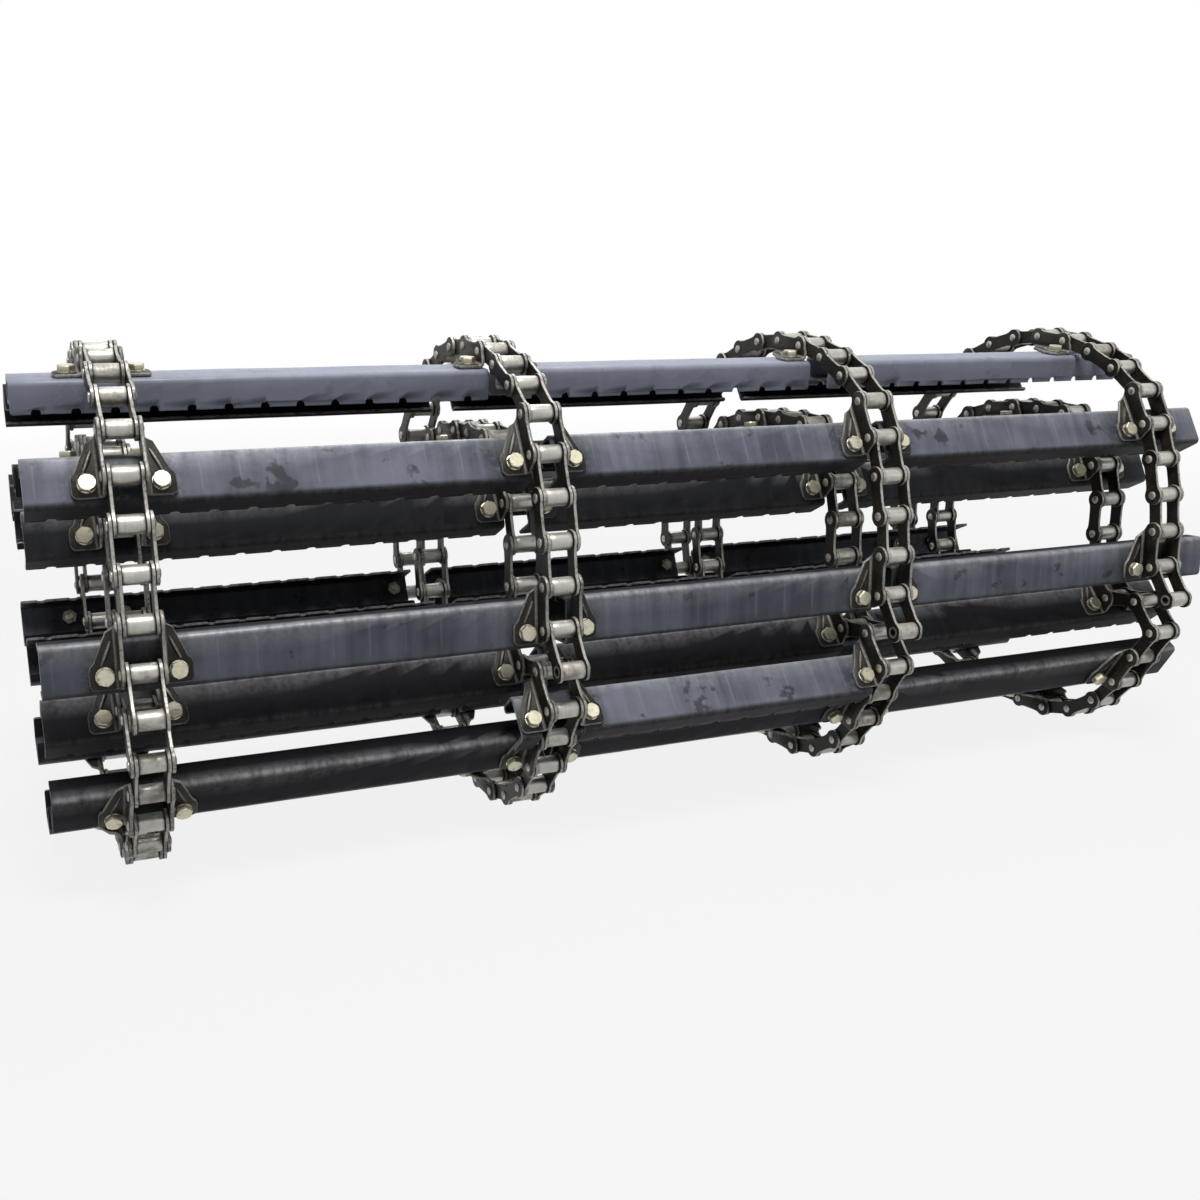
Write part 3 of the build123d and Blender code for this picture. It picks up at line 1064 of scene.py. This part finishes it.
class CHAIN_OT_rollers(bpy.types.Operator):
    """Rollers of every joint"""

    bl_idname = "chain.rollers"
    bl_label = "Rollers"

    def execute(self, context):
        sizes, looks = context.scene.chain_sizes, context.scene.chain_looks
        steel = get_finish("bright rollers", lambda name: bright_rollers(name, looks))
        noise.seed_set(13)
        roller = roller_shape(sizes)
        numbered = strands(sizes.strand_step)

        def turned(joint, x):
            y, z = JOINTS[joint]
            spin = Matrix.Rotation(noise.random() * math.tau, 4, "X")
            return roller.moved(Matrix.Translation((x, y, z)) @ spin)

        for joint in range(FLAP_LINKS + 1):
            shapes = [turned(joint, x) for _, x in numbered]
            node, body = f"flap_rollers_{joint}", f"rollers_{joint}"
            joined(f"rollers_line_{joint}", shapes, steel, body, [node])
        for number, x in numbered:
            shapes = [turned(joint, x) for joint in range(FLAP_LINKS + 1, LINKS + 1)]
            node = f"roll_rollers_{number}"
            joined(f"coiled_rollers_{number}", shapes, steel, "roll", [node])
        return {"FINISHED"}


class CHAIN_OT_pins(bpy.types.Operator):
    """Pins with domed ends in the outer plates"""

    bl_idname = "chain.pins"
    bl_label = "Pins"

    def execute(self, context):
        sizes, looks = context.scene.chain_sizes, context.scene.chain_looks
        steel = get_finish("bright pins", lambda name: plated(name, looks.bright_steel, looks))
        noise.seed_set(14)
        pin = both([pin_head(sizes)]) + [pin_shaft(sizes)]
        along = Matrix.Translation((0, sizes.pitch, 0))
        both_pins = pin + [s.moved(along) for s in pin]
        links = {f"link_{link + 1}": [link] for link in (1, 3, 5)}
        links["roll"] = [link for link in range(FLAP_LINKS, LINKS) if not is_inner(link)]
        for body, of_body in links.items():
            shapes = laid(of_body, strands(sizes.strand_step), lambda *_: both_pins)
            joined(f"pins_{body}", shapes, steel, body, [])
        return {"FINISHED"}


class CHAIN_OT_slats(bpy.types.Operator):
    """Folded, notched slats"""

    bl_idname = "chain.slats"
    bl_label = "Slats"

    def execute(self, context):
        sizes, slats = context.scene.chain_sizes, context.scene.chain_slats
        looks = context.scene.chain_looks
        paint = get_finish("blue-grey paint", lambda name: slat_paint(name, looks))
        noise.seed_set(15)
        places = [x for _, x in strands(sizes.strand_step)]
        spans = {
            "left": (places[0] - SLAT_OVERHANG, places[1] - SLAT_SET_IN),
            "middle": (places[1] + SLAT_SET_IN, places[2] - SLAT_SET_IN),
            "right": (places[2] + SLAT_SET_IN, places[3] + SLAT_OVERHANG),
        }
        rows = [link for link in range(FLAP_LINKS, LINKS) if is_slat_row(link)]
        for index, bay in enumerate(BAYS):
            start, end = spans[bay]
            kinds = [slat_shape(start, end, slats, 10 * index + k) for k in range(4)]
            for k, link in enumerate(FREE_LUG_LINKS):
                shapes = [kinds[k].moved(link_matrix(link))]
                node, body = f"flap_slat_{bay}_{link + 1}", f"link_{link + 1}"
                tones = [FREE_PAINTED_LIGHT_TONES[k] + 0.03 * index]
                joined(f"slat_{bay}_{link + 1}", shapes, paint, body, [node], 50, tones)
            shapes = [kinds[(k + 2) % 4].moved(link_matrix(link)) for k, link in enumerate(rows)]
            tones = [painted_light_tone(link) for link in rows]
            if bay == "middle":
                shapes.append(necked_slat(places, slats).moved(link_matrix(EXTRA_ROW)))
                tones.append(EXTRA_PAINTED_LIGHT_TONE)
            name, node = f"coiled_slats_{bay}", f"roll_slats_{bay}"
            joined(name, shapes, paint, "roll", [node], 50, tones)
        return {"FINISHED"}


def painted_light_tone(link):
    """Tone of a slat: 1 and more paints the top rows lighter as painted light, the least gives the inner
    lap full painted shade, and the rest get part of it at random.
    """
    if link >= INNER_LAP:
        return 0.15 + 0.05 * noise.random()
    return 1.5 if link < TOP_ROWS_END else 0.42 + 0.2 * noise.random()


def necked_slat(places, slats):
    """Slat of the extra row, necked where two strands pass it."""
    half, neck_edge = 21.5 * MM, 7.5 * MM
    runs = slat_runs(slats)
    web_start = slats.offset - slats.width / 2 + slats.sheet / 2 + SLAT_BEND
    depth = runs[0][0] + runs[1][0] + neck_edge - web_start
    necks = [(x - half, x + half, depth) for x in places[1:3]]
    return slat_shape(places[1] - 40 * MM, places[2] - SLAT_SET_IN, slats, 99, necks)


class CHAIN_OT_bolts(bpy.types.Operator):
    """Bolts that hold the slats to the lugs"""

    bl_idname = "chain.bolts"
    bl_label = "Bolts"

    def execute(self, context):
        sizes, lugs = context.scene.chain_sizes, context.scene.chain_lugs
        looks = context.scene.chain_looks
        zinc = get_finish("yellow zinc", lambda name: plated(name, looks.zinc, looks))
        noise.seed_set(16)
        at_lugs = by_sides(bolt_shapes(lugs))
        links = {"link_2": [1], "link_6": [5], "roll": range(FLAP_LINKS + 1, LINKS)}
        for body, of_body in links.items():
            shapes = laid(of_body, strands(sizes.strand_step), at_lugs)
            joined(f"bolts_{body}", shapes, zinc, body, [], 30)
        return {"FINISHED"}


class CHAIN_OT_stage(bpy.types.Operator):
    """Floor, lights and camera"""

    bl_idname = "chain.stage"
    bl_label = "Stage"

    def execute(self, context):
        stage, scene = context.scene.chain_stage, context.scene
        work = bmesh.new()
        half_floor, rise_from, steepness, under = 30, 12, 0.05, 0.0005
        bmesh.ops.create_grid(work, x_segments=24, y_segments=24, size=half_floor)
        for vert in work.verts:
            vert.co.z = max(0.0, vert.co.y - rise_from) ** 2 * steepness - under
        mesh = bpy.data.meshes.new("floor")
        work.to_mesh(mesh)
        work.free()
        mesh.materials.append(get_finish("pale floor", lambda name: pale_floor(name, tuple(stage.floor))))
        floor = bpy.data.objects.new("floor", mesh)
        scene.collection.objects.link(floor)
        scene.world = white_world()
        lights = (
            ("key", (-0.4, -1.1, 3.1), 1.3, 100, (1.0, 0.99, 0.97)),
            ("back", (0.7, 1.7, 2.7), 1.6, 38, (0.95, 0.97, 1.0)),
            ("fill", (2.2, -2.4, 1.0), 1.2, 4, (1.0, 0.98, 0.95)),
        )
        for name, place, size, power, tint in lights:
            lamp = bpy.data.lights.new(name, "AREA")
            lamp.shape, lamp.size, lamp.energy, lamp.color = "DISK", size, power, tint
            holder = bpy.data.objects.new(name, lamp)
            holder.location = place
            aim = Vector((0, 0, 0.2)) - Vector(place)
            holder.rotation_euler = aim.to_track_quat("-Z", "Y").to_euler()
            scene.collection.objects.link(holder)
        lens = bpy.data.cameras.new("camera")
        lens.lens, lens.sensor_width = 38.73, 36
        lens.shift_x, lens.shift_y = 0.0864, 0.0237
        lens.clip_start, lens.clip_end = 0.02, 100
        camera = bpy.data.objects.new("camera", lens)
        camera.location = stage.camera_place
        camera.rotation_euler = (math.pi / 2 - stage.pitch_down, 0, -stage.turn)
        scene.collection.objects.link(camera)
        scene.camera = camera
        scene.view_settings.view_transform = "Standard"
        return {"FINISHED"}


class CHAIN_PT_panel(bpy.types.Panel):
    """Lists the steps that build the chain."""

    bl_idname = "CHAIN_PT_panel"
    bl_label = "Slatted conveyor chain"
    bl_space_type = "VIEW_3D"
    bl_region_type = "UI"
    bl_category = "Chain"

    def draw(self, context):
        for name in ("chain_sizes", "chain_lugs", "chain_slats", "chain_looks", "chain_stage"):
            group = getattr(context.scene, name)
            box = self.layout.box()
            for key in group.__annotations__:
                box.prop(group, key)
        for maker in MAKERS:
            self.layout.operator(maker.bl_idname)


GROUPS = {
    "chain_sizes": ChainSizes,
    "chain_lugs": LugSizes,
    "chain_slats": SlatSizes,
    "chain_looks": Finishes,
    "chain_stage": StageLook,
}
MAKERS = (
    CHAIN_OT_stage,
    CHAIN_OT_plates,
    CHAIN_OT_lugs,
    CHAIN_OT_rollers,
    CHAIN_OT_pins,
    CHAIN_OT_slats,
    CHAIN_OT_bolts,
)


def register():
    """Registers the classes and the scene's settings."""
    for kind in (*GROUPS.values(), *MAKERS, CHAIN_PT_panel):
        bpy.utils.register_class(kind)
    for name, kind in GROUPS.items():
        setattr(bpy.types.Scene, name, bpy.props.PointerProperty(type=kind))


def unregister():
    """Takes the classes and settings away again."""
    for name in GROUPS:
        delattr(bpy.types.Scene, name)
    for kind in (CHAIN_PT_panel, *MAKERS[::-1], *list(GROUPS.values())[::-1]):
        bpy.utils.unregister_class(kind)


def main():
    """Makes everything in order."""
    register()
    bpy.ops.chain.stage()
    bpy.ops.chain.plates()
    bpy.ops.chain.lugs()
    bpy.ops.chain.rollers()
    bpy.ops.chain.pins()
    bpy.ops.chain.slats()
    bpy.ops.chain.bolts()


if __name__ == "__main__":
    main()
